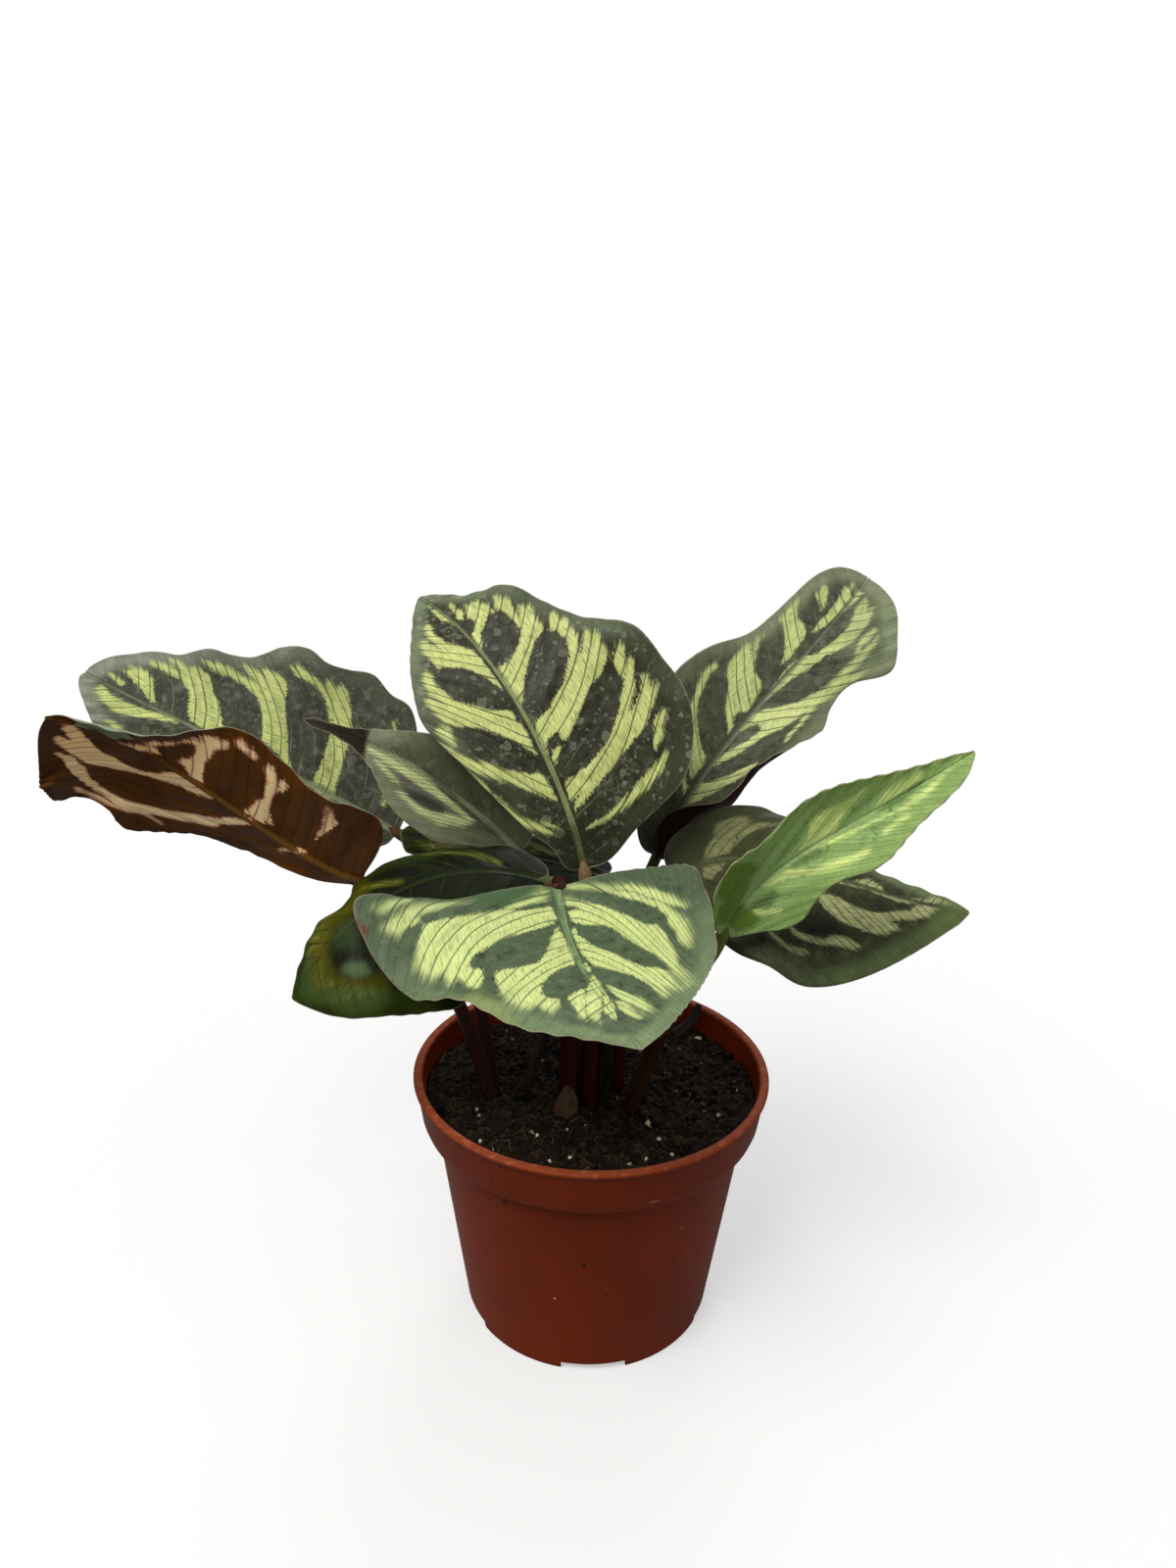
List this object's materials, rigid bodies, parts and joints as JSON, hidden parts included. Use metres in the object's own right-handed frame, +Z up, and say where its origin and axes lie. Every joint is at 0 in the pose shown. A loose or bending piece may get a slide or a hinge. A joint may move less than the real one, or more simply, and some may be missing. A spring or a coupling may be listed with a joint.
{
  "type": "potted plant",
  "caption": "Young calathea with feather-patterned green leaves on dark red stalks, growing in a small round terracotta-coloured nursery pot filled with peat.",
  "frame": {"origin": "centre of the pot's foot, on the surface the pot stands on", "axes": "+Z straight up along the pot axis; -Y toward the side the plant shows to the front; +X to the right seen from the front"},
  "size_m": [0.1551, 0.0924, 0.1285],
  "materials": {
    "pot": "semi-matt terracotta-coloured plastic",
    "soil": "moist dark peat with fibres and a few pale grains",
    "leaf": "satin leaf, dark green blotches and pale yellow-green stripes, maroon underside",
    "leaf_turned": "satin leaf turned over, maroon-brown underside with peach windows, patterned green upper side",
    "leaf_dark": "satin dark green leaf with pale stripes, maroon underside",
    "leaf_young": "satin light green young leaf with yellow-green stripes",
    "stalk": "smooth dark red-brown stalk",
    "dry_sheath": "dry papery leaf sheath",
    "dry_scrap": "rough dark plant scrap"
  },
  "bodies": {
    "root": {"pot": "pot", "soil": "soil", "leaf_centre": "leaf", "leaf_front": "leaf", "leaf_left_back": "leaf", "leaf_left_turned": "leaf_turned", "leaf_small": "leaf", "leaf_right_back": "leaf", "leaf_young": "leaf_young", "leaf_right_low": "leaf_dark", "leaf_left_low": "leaf_dark", "leaf_hidden": "leaf_dark", "stalk_centre": "stalk", "stalk_front": "stalk", "stalk_left_back": "stalk", "stalk_left_turned": "stalk", "stalk_small": "stalk", "stalk_right_back": "stalk", "stalk_young": "stalk", "stalk_right_low": "stalk", "stalk_left_low": "stalk", "stalk_hidden": "stalk", "dry_sheath_front": "dry_sheath", "dry_sheath_back": "dry_sheath", "dry_scrap": "dry_scrap"}
  },
  "joints": []
}
